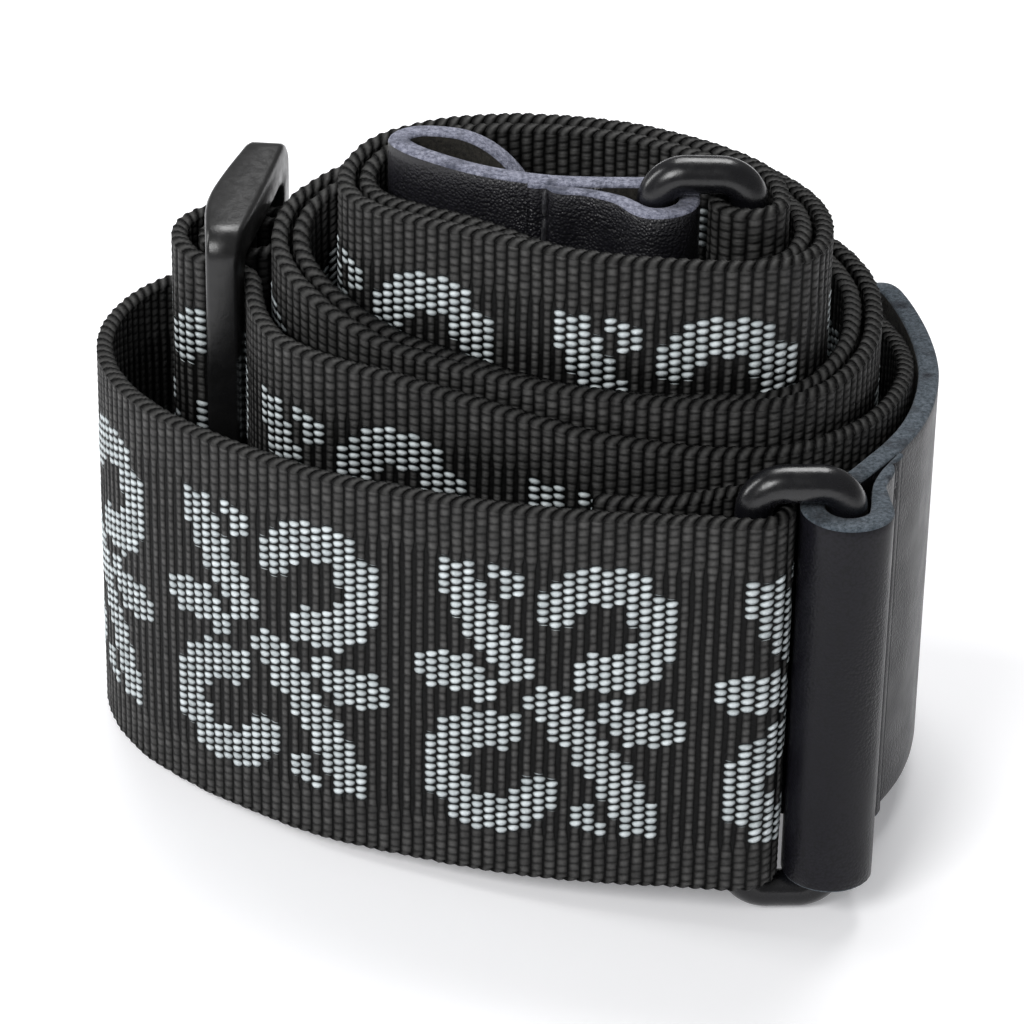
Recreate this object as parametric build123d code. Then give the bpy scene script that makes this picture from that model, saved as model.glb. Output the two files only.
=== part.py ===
"""Guitar strap rolled into a telescoped oval coil. Millimetres, z up, floor at z = 0."""
import math
import os

from build123d import *

os.makedirs("parts", exist_ok=True)

WEB_T, WEB_W = 2.2, 49.0  # jacquard webbing
ROD, RING_W, RING_H = 4.4, 14.8, 58.6  # moulded rectangular ring, outside sizes
RING_BAR = (RING_W - ROD) / 2  # bar axis from the ring's middle
LEATHER_T, LEATHER_W, FLAP_T = 2.4, 48.6, 1.5
RING_CORNER = 3.4  # the rod's own middle line at the ring's corners
TAB_CORNER = 12.0  # radius of the rounded corners at a tab's free end
HOLE_R, SLIT_L, SLIT_W = 3.1, 8.5, 0.9  # strap button hole and the slit that opens it
HOLE_CUT = 2.4  # how far the hole's cut reaches each way from the leather's middle
OUTER_HOLE_REACH, INNER_HOLE_REACH = 24.0, 11.0  # from a tab's free end to its hole, along the leather
FIT = 0.35  # slack between a bar and what is folded round it

THREAD, STITCH_GAP, STITCHES = 0.8, 0.7, 12  # thread thickness, space between stitches, stitches in a row
LAID = 0.02  # a thread lies this far off the face it is sewn on
FLAP_SEAM_T = 0.9  # the flap's thickness under its seam
OUTER_SEAM_BACK, INNER_SEAM_BACK = 2.1, 1.9  # from the flap's end back to its seam
TAB_SEAM_MARGIN = 2.4  # from a tab's edges to the ends of its seam
# The seams across the webbing: distances from the strap's start or end, lowest and highest point.
LOOP_SEAMS, LOOP_SEAM_SPAN = (2.5, 6.0), (7.0, 50.6)
FOLD_SEAMS, FOLD_SEAM_SPAN = (1.2, 3.6), (15.5, 59.5)


def lay(points, step):
    """A smooth line through points (any number of values each), as stations about step apart."""
    out = []
    n = len(points)
    for i in range(n - 1):
        p0, p1, p2, p3 = (points[max(0, min(n - 1, i + k))] for k in (-1, 0, 1, 2))
        if i == 0:
            p0 = [2 * a - b for a, b in zip(p1, p2)]
        if i == n - 2:
            p3 = [2 * b - a for a, b in zip(p1, p2)]
        d = [max(math.dist(a[:2], b[:2]), 1e-6) ** 0.5 for a, b in ((p0, p1), (p1, p2), (p2, p3))]
        count = max(2, round(math.dist(p1[:2], p2[:2]) / step))
        for k in range(count):
            t = k / count
            row = []
            for a, b, c, e in zip(p0, p1, p2, p3):
                m1 = (c - b) / d[1] - (c - a) / (d[0] + d[1]) + (b - a) / d[0]
                m2 = (e - c) / d[2] - (e - b) / (d[1] + d[2]) + (c - b) / d[1]
                m1, m2 = m1 * d[1], m2 * d[1]
                row.append(
                    (2 * t**3 - 3 * t**2 + 1) * b + (t**3 - 2 * t**2 + t) * m1
                    + (-2 * t**3 + 3 * t**2) * c + (t**3 - t**2) * m2
                )
            out.append(row)
    out.append(list(points[-1]))
    return out


def around(centre, radius, start, sweep, count, *height):
    """Points on an arc seen from above, degrees, with their height if they have one."""
    turns = [math.radians(start + sweep * k / count) for k in range(count + 1)]
    return [(centre[0] + radius * math.cos(a), centre[1] + radius * math.sin(a), *height) for a in turns]


def ways(stations):
    """Unit direction at each station, seen from above."""
    out = []
    for i in range(len(stations)):
        a, b = stations[max(0, i - 1)], stations[min(len(stations) - 1, i + 1)]
        dx, dy = b[0] - a[0], b[1] - a[1]
        n = math.hypot(dx, dy)
        out.append((dx / n, dy / n))
    return out


def beside(stations, offset):
    """The line moved offset to its right, offset being a number or one for each station."""
    w = ways(stations)
    o = offset if isinstance(offset, list) else [offset] * len(stations)
    return [[s[0] + d[1] * k, s[1] - d[0] * k, *s[2:]] for s, d, k in zip(stations, w, o)]


def ribbon(stations, right, left, low, high, span=10):
    """A closed band along stations, made in lengths of span stations.

    right and left are its faces' offsets, low and high its edges' heights, one for each station."""
    right_face, left_face = beside(stations, right), beside(stations, left)
    corners = [
        [Vector(p[0], p[1], z) for p, z in zip(face, heights)]
        for face, heights in ((right_face, low), (right_face, high), (left_face, high), (left_face, low))
    ]
    n = len(stations)
    cuts = list(range(0, n - 1, span))
    if n - 1 - cuts[-1] < span // 2 and len(cuts) > 1:
        cuts.pop()
    cuts.append(n - 1)

    def slope(line, i):
        a, b = line[max(0, i - 1)], line[min(n - 1, i + 1)]
        return (b - a).normalized()

    faces = []
    for a, b in zip(cuts, cuts[1:]):
        edges = [
            Edge.make_spline(line[a : b + 1], tangents=[slope(line, a), slope(line, b)])
            for line in corners
        ]
        for k in range(4):
            faces.append(Face.make_surface_from_curves(edges[k], edges[(k + 1) % 4]))
    for i in (0, n - 1):
        faces.append(Face(Wire.make_polygon([line[i] for line in corners], close=True)))
    solid = Solid(Shell(faces))
    return solid if solid.volume > 0 else Solid(Shell([-f for f in faces]))


# Where things stand, seen from above. The coil runs clockwise: front, left, back, right.
# Each turn is inside the last one and higher.
OUTER_BAR = (26.7, -16.7)  # outer ring's bar that the webbing goes round
OUTER_RING_Z = RING_H / 2
INNER_BAR = (25.8, 6.3)  # inner ring's bar that the webbing goes round
INNER_RING_Z = 55.5
LOOP_R = ROD / 2 + FIT + WEB_T / 2  # webbing's middle round a bar
PLY = WEB_T + 0.25  # from one ply's middle to the next one's

outer_loop = (
    [(9.0, -15.1, 53.5), (14.0, -15.9, 53.7), (19.0, -15.6, 53.8), (23.2, -13.9, 53.8)]
    + around(OUTER_BAR, LOOP_R, 97, -187, 9, 53.8)
)
outer_turn = [
    (20.5, -19.7, 53.7), (9.9, -17.6, 52.7), (-0.9, -14.9, 52.0), (-12.0, -10.7, 51.3), (-21.1, -6.6, 50.7),
    (-29.9, -0.7, 50.2), (-37.0, 5.2, 49.7), (-43.2, 12.0, 49.3), (-47.2, 19.6, 49.1), (-48.5, 27.0, 49.0),
    (-47.2, 34.0, 49.0), (-43.3, 40.6, 49.0), (-35.0, 46.2, 49.2), (-20.0, 49.2, 49.5), (0.0, 49.5, 50.0),
    (19.0, 47.2, 50.6), (32.0, 41.8, 51.4), (40.3, 33.4, 52.4), (44.0, 24.0, 53.5), (45.1, 14.0, 54.8),
    (43.4, 5.8, 55.6), (40.0, -1.2, 56.2), (35.4, -6.4, 56.7), (29.6, -9.9, 57.0), (20.5, -10.6, 57.2),
    (9.7, -9.0, 57.8), (0.9, -6.3, 58.8), (-7.8, -3.1, 59.8), (-14.6, -0.6, 60.5), (-19.6, 1.2, 60.8),
    (-23.9, 3.6, 61.0), (-26.9, 6.6, 61.0), (-29.0, 11.0, 61.2), (-30.1, 16.0, 61.5),
]
SLIDER_BARS = [(-34.05, 18.0), (-32.5, 28.4), (-29.4, 39.6)]  # near, centre and far bar
SLIDER_OUTSIDE = [(-35.7, 16.0), (-36.0, 26.2), (-31.4, 41.5)]  # a rail's edge away from the coil
SLIDER_INSIDE = [(-27.2, 41.2), (-29.9, 26.4), (-32.1, 16.2)]
SLIDER_LOW, SLIDER_HIGH, RAIL_H, SLIDER_BAR = 7.8, 68.2, 4.6, 3.8
SLIDER_TURNS = (-3, -9, -17)  # how far each bar is turned with the slider's bend, degrees
RAIL_CORNER, RAIL_RIM, BAR_CORNER = 1.1, 0.7, 1.2
through_slider = [
    (-30.6, 19.4, 61.8), (-33.2, 22.0, 62.0), (-37.0, 23.5, 62.3), (-39.3, 26.8, 62.5), (-39.3, 31.0, 62.5),
    (-36.8, 34.4, 62.5), (-32.5, 35.4, 62.3), (-28.4, 35.2, 62.2), (-25.5, 36.9, 62.1), (-24.8, 39.8, 62.0),
]
second_turn = [
    (-22.0, 43.4, 62.0), (-13.5, 45.9, 62.0), (0.0, 46.4, 62.0), (16.0, 44.3, 62.0), (29.5, 38.4, 62.0),
    (37.3, 29.6, 62.0), (40.8, 20.0, 62.0), (40.9, 11.4, 62.0), (39.4, 4.2, 61.8), (35.3, -3.0, 61.6),
    (29.3, -7.2, 61.6), (20.5, -8.0, 61.7), (9.8, -6.5, 61.8), (0.9, -3.7, 61.7), (-7.6, -0.1, 61.8),
    (-14.4, 3.2, 62.3), (-19.3, 6.2, 63.6), (-23.6, 10.0, 65.2), (-26.2, 14.2, 66.3), (-27.3, 19.0, 67.5),
    (-26.0, 24.2, 69.0), (-21.8, 28.6, 70.4), (-12.5, 33.5, 71.6), (0.0, 36.8, 72.2), (11.5, 35.6, 72.6),
    (22.5, 30.8, 73.2), (29.8, 23.4, 74.0), (34.0, 14.0, 75.0), (34.45, 6.8, 75.5), (33.0, 1.8, 75.8),
    (30.1, -1.2, 76.1), (26.3, -2.7, 76.4), (20.3, -3.1, 76.6), (9.4, -1.5, 76.4), (1.5, 1.6, 76.2),
    (-7.0, 5.7, 76.0), (-13.2, 9.2, 75.6), (-17.4, 12.8, 75.2), (-19.5, 17.0, 75.3), (-18.9, 21.8, 75.9),
    (-15.6, 25.9, 76.8), (-8.5, 28.6, 77.6), (2.0, 28.8, 78.2), (12.0, 26.0, 78.8), (20.2, 21.2, 79.3),
    (26.2, 15.8, 79.7), (28.5, 12.0, 79.9), (29.3, 8.8, 80.0),
]
inner_loop = around(INNER_BAR, LOOP_R, -20, -210, 9, 80.0)

STEP = 1.6
doubled = lay(through_slider[-2:] + second_turn, STEP)


def dropped(s):
    """Top edge height of the returning ply, which hides a little below the other along the third front."""
    front = math.exp(-(((s[0] - 14) / 16) ** 2) - ((s[1] + 1) / 7) ** 2)
    return s[2] - 2.6 * front


back = [[*b[:2], dropped(s)] for s, b in zip(doubled, beside(doubled, PLY))]
first = next(i for i, s in enumerate(doubled) if s[0] > -24.6 and s[1] > 41.5)
last = next(i for i, s in enumerate(doubled) if s[0] > 26.2 and s[2] > 79.0)
slider_fold = [
    (-22.6, 38.4, 62.0), (-23.5, 35.5, 62.0), (-26.7, 33.0, 62.1), (-31.0, 32.2, 62.3), (-34.6, 31.9, 62.5),
    (-36.3, 29.4, 62.5), (-35.9, 26.6, 62.5), (-33.6, 25.0, 62.3), (-30.6, 24.8, 62.1), (-28.5, 26.2, 62.0),
    (-26.9, 28.6, 62.0), (-24.9, 30.9, 62.0), (-23.2, 32.4, 62.0),
]
strap = lay(
    outer_loop + outer_turn + through_slider + second_turn + inner_loop
    + [tuple(s) for s in back[last:first:-2]] + slider_fold,
    STEP,
)

# Leather tabs. Each line is the face that lies on the ring's bar, from the free end to the flap's end.
# The third value is the leather's thickness there.
FOLD_R = ROD / 2 + FIT
RING_TURN = 3  # how far the outer ring is turned from the front, degrees
OUTER_TAB_BAR = (
    OUTER_BAR[0] + 2 * RING_BAR * math.cos(math.radians(RING_TURN)),
    OUTER_BAR[1] + 2 * RING_BAR * math.sin(math.radians(RING_TURN)),
)
INNER_TAB_BAR = (INNER_BAR[0] - 2 * RING_BAR, INNER_BAR[1])
outer_tab_line = (
    [(*p, LEATHER_T) for p in (
        (39.9, 43.8), (45.0, 36.2), (48.0, 26.5), (49.1, 16.0), (48.3, 8.5), (46.5, 2.2), (44.1, -2.8),
        (41.4, -7.0), (38.9, -10.6),
    )]
    + around(OUTER_TAB_BAR, FOLD_R, 100, 232, 10, LEATHER_T)
    + [(39.8, -13.6, 2.0), (40.1, -11.2, FLAP_T), (41.1, -8.4, FLAP_T), (42.3, -6.2, 0.9), (43.3, -4.4, 0.6)]
)
inner_tab_line = (
    [(*p, LEATHER_T) for p in (
        (3.6, 17.8), (-0.2, 20.0), (-4.6, 21.9), (-8.8, 23.0), (-12.0, 22.9), (-14.2, 21.4), (-14.9, 19.2),
        (-13.4, 16.8), (-9.5, 13.8), (-4.0, 10.9), (3.0, 9.0), (9.4, 8.7),
    )]
    + around(INNER_TAB_BAR, FOLD_R, 95, -200, 9, LEATHER_T)
    + [(11.8, 6.4, 1.8), (7.6, 8.1, FLAP_T), (4.6, 8.5, FLAP_T), (2.6, 8.8, 0.9), (0.8, 9.15, 0.6)]
)


def webbing():
    """The whole strap, one band folded and rolled as it lies, each station's height being its top edge."""
    top = [s[2] for s in strap]
    return ribbon(strap, WEB_T / 2, -WEB_T / 2, [z - WEB_W for z in top], top)


def ring(webbing_bar, tab_bar, middle):
    """A rectangular ring of round rod standing on its short side, its two long bars upright."""
    across = Vector(tab_bar[0] - webbing_bar[0], tab_bar[1] - webbing_bar[1], 0).normalized()
    centre = Vector((webbing_bar[0] + tab_bar[0]) / 2, (webbing_bar[1] + tab_bar[1]) / 2, middle)
    plane = Plane(origin=centre, x_dir=across, z_dir=across.cross(Vector(0, 0, 1)))
    line = (plane * RectangleRounded(2 * RING_BAR, RING_H - ROD, RING_CORNER)).wire()
    start = line.position_at(0)
    rod = Plane(origin=start, z_dir=line.tangent_at(0)) * Circle(ROD / 2)
    return sweep(rod, path=line)


def slider():
    """Three-bar adjuster, bent at its middle: two flat rails joined by three upright bars."""
    outline = make_face(Polyline(*SLIDER_OUTSIDE, *SLIDER_INSIDE, close=True).edges())
    outline = fillet(outline.vertices(), RAIL_CORNER)
    body = None
    for low in (SLIDER_LOW, SLIDER_HIGH - RAIL_H):
        rail = extrude(Pos(0, 0, low) * outline, RAIL_H)
        rims = rail.edges().group_by(Axis.Z)
        rail = fillet(rims[0] + rims[-1], RAIL_RIM)
        body = rail if body is None else body + rail
    bar = RectangleRounded(SLIDER_BAR, SLIDER_BAR, BAR_CORNER)
    height = SLIDER_HIGH - SLIDER_LOW - RAIL_H
    for (bar_x, bar_y), turn in zip(SLIDER_BARS, SLIDER_TURNS):
        body += extrude(Pos(bar_x, bar_y, SLIDER_LOW + RAIL_H / 2) * Rot(0, 0, turn) * bar, height)
    return body


def rounded_end(way, middle, width, corner):
    """Edge heights of a tab whose free end, at the first station, has rounded corners."""
    low, high, gone = [], [], 0.0
    for i, s in enumerate(way):
        gone += math.dist(s[:2], way[i - 1][:2]) if i else 0.0
        cut = 0.0
        if gone < corner:
            cut = corner - math.sqrt(corner**2 - (corner - gone) ** 2)
        low.append(middle - width / 2 + cut)
        high.append(middle + width / 2 - cut)
    return low, high


def station(way, reach):
    """Place and direction of the first station at least a distance along the way."""
    gone = 0.0
    for i in range(1, len(way)):
        gone += math.dist(way[i][:2], way[i - 1][:2])
        if gone >= reach:
            return way[i], ways(way)[i]


def tab(way, side, middle, hole_reach):
    """A leather tab folded round a ring bar, with a button hole and slit in its free arm.

    side is 1 where the leather is to the right of the line and -1 where it is to the left."""
    thick = [side * s[2] for s in way]
    right, left = (thick, 0.0) if side > 0 else (0.0, thick)
    low, high = rounded_end(way, middle, LEATHER_W, TAB_CORNER)
    body = ribbon(way, right, left, low, high, 8)
    place, d = station(way, hole_reach)
    normal = Vector(d[1] * side, -d[0] * side, 0)
    centre = Vector(place[0], place[1], middle) + normal * (LEATHER_T / 2)
    plane = Plane(origin=centre, x_dir=Vector(d[0], d[1], 0), z_dir=normal)
    hole = extrude(plane * Circle(HOLE_R), HOLE_CUT, both=True)
    slit_shape = Pos(HOLE_R + SLIT_L / 2 - 0.5, 0) * Rectangle(SLIT_L + 1, SLIT_W)
    slit = extrude(plane * slit_shape, HOLE_CUT, both=True)
    return body - hole - slit


def seam(way, offset, reach, low, high):
    """A row of upright stitches on the face at an offset from the way, at a distance along it."""
    place, d = station(way, reach)
    x, y = place[0] + d[1] * offset, place[1] - d[0] * offset
    pitch = (high - low) / STITCHES
    plane = Plane(origin=(x, y, low + STITCH_GAP / 2), z_dir=(0, 0, 1))
    stitch = Circle(THREAD / 2)
    return [extrude(plane.offset(pitch * k) * stitch, pitch - STITCH_GAP) for k in range(STITCHES)]


def length(way):
    return sum(math.dist(a[:2], b[:2]) for a, b in zip(way, way[1:]))


def tab_seam(way, side, middle, back_off):
    """The row of stitches that holds a tab's flap."""
    reach = LEATHER_W / 2 - TAB_SEAM_MARGIN
    on_flap = FLAP_SEAM_T + THREAD / 2 + LAID
    return seam(way, side * on_flap, length(way) - back_off, middle - reach, middle + reach)


outer_tab_way, inner_tab_way = lay(outer_tab_line, 1.0), lay(inner_tab_line, 1.0)
on_web = (WEB_T + THREAD) / 2 + LAID
strap_end = length(strap)

nodes = {
    "webbing": [webbing()],
    "outer_ring": [ring(OUTER_BAR, OUTER_TAB_BAR, OUTER_RING_Z)],
    "inner_ring": [ring(INNER_BAR, INNER_TAB_BAR, INNER_RING_Z)],
    "slider": [slider()],
    "outer_leather_tab": [tab(outer_tab_way, 1, OUTER_RING_Z, OUTER_HOLE_REACH)],
    "inner_leather_tab": [tab(inner_tab_way, -1, INNER_RING_Z, INNER_HOLE_REACH)],
    "outer_tab_stitching": tab_seam(outer_tab_way, 1, OUTER_RING_Z, OUTER_SEAM_BACK),
    "inner_tab_stitching": tab_seam(inner_tab_way, -1, INNER_RING_Z, INNER_SEAM_BACK),
    "loop_stitching": [
        stitch for reach in LOOP_SEAMS for stitch in seam(strap, -on_web, reach, *LOOP_SEAM_SPAN)
    ],
    "slider_end_stitching": [
        stitch
        for back_off in FOLD_SEAMS
        for stitch in seam(strap, on_web, strap_end - back_off, *FOLD_SEAM_SPAN)
    ],
}

# The origin is the middle of the object's base.
middle = Compound([piece for pieces in nodes.values() for piece in pieces]).bounding_box().center()
home = Pos(-middle.X, -middle.Y, 0)
for name, pieces in nodes.items():
    export_step(home * (Compound(pieces) if len(pieces) > 1 else pieces[0]), f"parts/{name}.step")
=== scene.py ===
"""Looks of a guitar strap rolled into an oval coil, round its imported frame.

Lengths are millimetres until MM turns them into metres. The materials and lights are written in metres.
"""
import math
from dataclasses import dataclass

import bmesh
import bpy
import numpy as np
from mathutils import Matrix, Vector


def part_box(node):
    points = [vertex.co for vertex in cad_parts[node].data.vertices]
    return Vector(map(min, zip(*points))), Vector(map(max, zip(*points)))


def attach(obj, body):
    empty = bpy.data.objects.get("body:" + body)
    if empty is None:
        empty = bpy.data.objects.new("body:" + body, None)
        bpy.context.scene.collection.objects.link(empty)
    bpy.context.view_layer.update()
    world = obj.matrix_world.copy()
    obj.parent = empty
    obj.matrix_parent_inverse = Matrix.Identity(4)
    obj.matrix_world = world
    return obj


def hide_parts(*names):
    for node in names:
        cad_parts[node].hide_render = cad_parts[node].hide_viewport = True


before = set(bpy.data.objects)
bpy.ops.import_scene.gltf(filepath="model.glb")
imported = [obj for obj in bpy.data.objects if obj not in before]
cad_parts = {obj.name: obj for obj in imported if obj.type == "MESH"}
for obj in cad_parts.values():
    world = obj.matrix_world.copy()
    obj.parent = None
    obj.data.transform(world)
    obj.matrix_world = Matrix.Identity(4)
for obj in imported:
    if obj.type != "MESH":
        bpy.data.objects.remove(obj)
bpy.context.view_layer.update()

MM = 0.001
UP = Vector((0, 0, 1))

# --- sizes, as the CAD part has them -----------------------------------------------------------

WEB_T, WEB_W = 2.2, 49.0  # jacquard webbing
ROD, RING_W, RING_H = 4.4, 14.8, 58.6  # moulded rectangular ring, outside sizes
RING_BAR = (RING_W - ROD) / 2  # bar axis from the ring's middle
RING_CORNER = 3.4  # the rod's own middle line at the ring's corners
RING_TURN = math.radians(3)  # how far the outer ring is turned from straight across
LEATHER_T, LEATHER_W, FLAP_T = 2.4, 48.6, 1.5
TAB_CORNER = 12.0  # radius of the rounded corners at a tab's free end
HOLE_R, SLIT_L, SLIT_W = 3.1, 8.5, 0.9  # strap button hole and the slit that opens it
FIT = 0.35  # slack between a bar and what is folded round it
LOOP_R = ROD / 2 + FIT + WEB_T / 2  # webbing's middle round a bar
FOLD_R = ROD / 2 + FIT  # leather's inner face round a bar
PLY = WEB_T + 0.25  # from one ply's middle to the next one's

# Each ring's bar that the webbing goes round, seen from above, the height of its middle, and its tab's bar.
OUTER_BAR, OUTER_RING_Z = (26.7, -16.7), RING_H / 2
INNER_BAR, INNER_RING_Z = (25.8, 6.3), 55.5
OUTER_TAB_BAR = (
    OUTER_BAR[0] + 2 * RING_BAR * math.cos(RING_TURN), OUTER_BAR[1] + 2 * RING_BAR * math.sin(RING_TURN),
)
INNER_TAB_BAR = (INNER_BAR[0] - 2 * RING_BAR, INNER_BAR[1])

# --- sizes of the weave ------------------------------------------------------------------------

RIB, ROWS, BORDER = 1.45, 48, 6  # a rib's width, rows across the webbing, plain rows at each edge
ROW = WEB_W / ROWS
REPEAT = 24  # ribs in a repeat of the figure
STROKE_R, STROKE_GAP = 2.5, 1.2  # half a stroke's width, and the plain gap where one passes over another
PER_RIB = 4  # mesh columns in a rib
FINE_STEP = 0.5  # between the stations that the columns are laid along
HALF_T, EDGE_R = 0.80, 0.55  # half the webbing's thickness between ribs, and how far its edges are rounded
FINE_ROWS = 15  # rows on the back, from the top edge down, that can be seen and are meshed finely
COARSE_POINTS = 16  # mesh points down the rest of the back
EDGE_ROW = 100  # the rounded edges count their turn from this row number
SILVER_RISE, BLACK_RISE, EDGE_RISE = 0.28, 0.20, 0.34  # how far the yarns stand up
SILVER_DIP, BLACK_DIP = 0.55, 0.28  # share of its height that a yarn loses towards its ends
STRAND_LEAN = 0.55  # of the edge's strands, in ribs
EDGE_SWELL = 0.035  # how much the edge's strands differ
FACE, EDGE, BACK = 0, 1, 2  # parts of a section, and the material slots of a tab

# --- sizes of the leather, slider and thread ---------------------------------------------------

FOLD_T = 2.8  # the outer tab's leather where it is bent round the bar
TAB_STEP = 0.4  # between a tab's mesh columns
TAB_ROWS = 40  # mesh rows across a tab
CUT_ROUND = 0.3  # how far a tab's cut edge bulges
GROOVE_DEPTH, GROOVE_HALF = 0.62, 0.65  # the seam's groove: share of the thickness, and half its width
THINNEST = 0.28  # of the leather, at the bottom of the groove
CUTTER_T, SLIT_OVERLAP = 4.6, 0.6  # thickness of the hole's cutters, and how far the slit's enters the hole
RING_SIDES = 56  # mesh faces round the rod
PARTING_H, PARTING_HALF = 0.035, 0.07  # the mould's parting line: its height, and half its width in radians
RING_CORNER_STEPS, SLIDER_CORNER_STEPS, BAR_CORNER_STEPS = 14, 8, 5
SLIDER_CENTRE_BAR = (-32.5, 28.4)
SLIDER_OUTSIDE = [(-35.7, 16.0), (-36.0, 26.2), (-31.4, 41.5)]  # a rail's edge away from the coil
SLIDER_INSIDE = [(-32.1, 16.2), (-29.9, 26.4), (-27.2, 41.2)]  # and its edge towards the coil
SLIDER_LOW, SLIDER_HIGH, RAIL_H, SLIDER_BAR = 7.8, 68.2, 4.6, 3.8
SLIDER_L = 25.6  # along the slider's bend
SLIDER_OUTER_CORNER, SLIDER_INNER_CORNER, BAR_CORNER = 3.4, 1.2, 1.1
FAR_RISE = 1.2  # the top rail's far end stands this much higher than its near end
RAIL_STEP = 0.4  # between a rail's stations
STRAIGHT_STEPS = 24  # along each straight length of the slider's frame
BAR_LEVELS, BAR_REACH = 30, 0.5  # mesh rows up the centre bar, and how far it enters the rails
THREAD, STITCH_GAP, STITCHES = 0.62, 0.35, 13  # thread thickness, space between stitches, stitches in a row
THREAD_SIDES, THREAD_STEPS = 10, 13
THREAD_LIFT = 0.22  # how far a seam stands over its groove
STITCH_ARCH, STITCH_SUNK = 0.35, 0.3  # a stitch's rise in its middle and its depth, in thread thicknesses
END_THIN = 0.55  # share of its thickness that a stitch loses at its ends
STRAND_DEPTH, STRAND_TWIST, MESH_TWIST = 0.12, 22, 5  # a thread's strands, twists in radians a stitch
SEAM_LOW, SEAM_HIGH = 0.4, 0.2  # from a tab's lower and upper edge to the ends of its seam


# --- lines -------------------------------------------------------------------------------------


def lay(points, step):
    """A smooth line through points (any number of values each), as stations about step apart."""
    out = []
    n = len(points)
    for i in range(n - 1):
        p0, p1, p2, p3 = (points[max(0, min(n - 1, i + k))] for k in (-1, 0, 1, 2))
        if i == 0:
            p0 = [2 * a - b for a, b in zip(p1, p2)]
        if i == n - 2:
            p3 = [2 * b - a for a, b in zip(p1, p2)]
        d = [max(math.dist(a[:2], b[:2]), 1e-6) ** 0.5 for a, b in ((p0, p1), (p1, p2), (p2, p3))]
        count = max(2, round(math.dist(p1[:2], p2[:2]) / step))
        for k in range(count):
            t = k / count
            row = []
            for a, b, c, e in zip(p0, p1, p2, p3):
                m1 = ((c - b) / d[1] - (c - a) / (d[0] + d[1]) + (b - a) / d[0]) * d[1]
                m2 = ((e - c) / d[2] - (e - b) / (d[1] + d[2]) + (c - b) / d[1]) * d[1]
                row.append(
                    (2 * t**3 - 3 * t**2 + 1) * b + (t**3 - 2 * t**2 + t) * m1
                    + (-2 * t**3 + 3 * t**2) * c + (t**3 - t**2) * m2
                )
            out.append(row)
    out.append(list(points[-1]))
    return out


def around(centre, radius, start, sweep, count, *height):
    """Points on an arc seen from above, degrees, with their height if they have one."""
    turns = [math.radians(start + sweep * k / count) for k in range(count + 1)]
    return [(centre[0] + radius * math.cos(a), centre[1] + radius * math.sin(a), *height) for a in turns]


def ways(stations):
    """Unit direction at each station, seen from above."""
    out = []
    for i in range(len(stations)):
        a, b = stations[max(0, i - 1)], stations[min(len(stations) - 1, i + 1)]
        dx, dy = b[0] - a[0], b[1] - a[1]
        n = math.hypot(dx, dy)
        out.append((dx / n, dy / n))
    return out


def beside(stations, offset):
    """The line moved offset to its right."""
    return [[s[0] + d[1] * offset, s[1] - d[0] * offset, *s[2:]] for s, d in zip(stations, ways(stations))]


def even(stations, step):
    """The same line with stations exactly step apart, as an array."""
    line = np.array(stations)
    gone = np.concatenate([[0], np.cumsum(np.linalg.norm(np.diff(line[:, :2], axis=0), axis=1))])
    marks = np.arange(0, gone[-1], step)
    return np.stack([np.interp(marks, gone, column) for column in line.T], axis=1)


def swept_line(points, fine, step):
    """A smooth line through points, as stations step apart with their directions ahead and to the right."""
    line = even(lay(points, fine), step)
    ahead = np.gradient(line[:, :2], axis=0)
    ahead /= np.linalg.norm(ahead, axis=1)[:, None]
    right = np.stack([ahead[:, 1], -ahead[:, 0]], axis=1)
    return line, ahead, right


# --- the strap's route: the same points as the CAD part's --------------------------------------

outer_loop = (
    [(9.0, -15.1, 53.5), (14.0, -15.9, 53.7), (19.0, -15.6, 53.8), (23.2, -13.9, 53.8)]
    + around(OUTER_BAR, LOOP_R, 97, -187, 9, 53.8)
)
outer_turn = [
    (20.5, -19.7, 53.7), (9.9, -17.6, 52.7), (-0.9, -14.9, 52.0), (-12.0, -10.7, 51.3), (-21.1, -6.6, 50.7),
    (-29.9, -0.7, 50.2), (-37.0, 5.2, 49.7), (-43.2, 12.0, 49.3), (-47.2, 19.6, 49.1), (-48.5, 27.0, 49.0),
    (-47.2, 34.0, 49.0), (-43.3, 40.6, 49.0), (-35.0, 46.2, 49.2), (-20.0, 49.2, 49.5), (0.0, 49.5, 50.0),
    (19.0, 47.2, 50.6), (32.0, 41.8, 51.4), (40.3, 33.4, 52.4), (44.0, 24.0, 53.5), (45.1, 14.0, 54.8),
    (43.4, 5.8, 55.6), (40.0, -1.2, 56.2), (35.4, -6.4, 56.7), (29.6, -9.9, 57.0), (20.5, -10.6, 57.2),
    (9.7, -9.0, 57.8), (0.9, -6.3, 58.8), (-7.8, -3.1, 59.8), (-14.6, -0.6, 60.5), (-19.6, 1.2, 60.8),
    (-23.9, 3.6, 61.0), (-26.9, 6.6, 61.0), (-29.0, 11.0, 61.2), (-30.1, 16.0, 61.5),
]
through_slider = [
    (-30.6, 19.4, 61.8), (-33.2, 22.0, 62.0), (-37.0, 23.5, 62.3), (-39.3, 26.8, 62.5), (-39.3, 31.0, 62.5),
    (-36.8, 34.4, 62.5), (-32.5, 35.4, 62.3), (-28.4, 35.2, 62.2), (-25.5, 36.9, 62.1), (-24.8, 39.8, 62.0),
]
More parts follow.
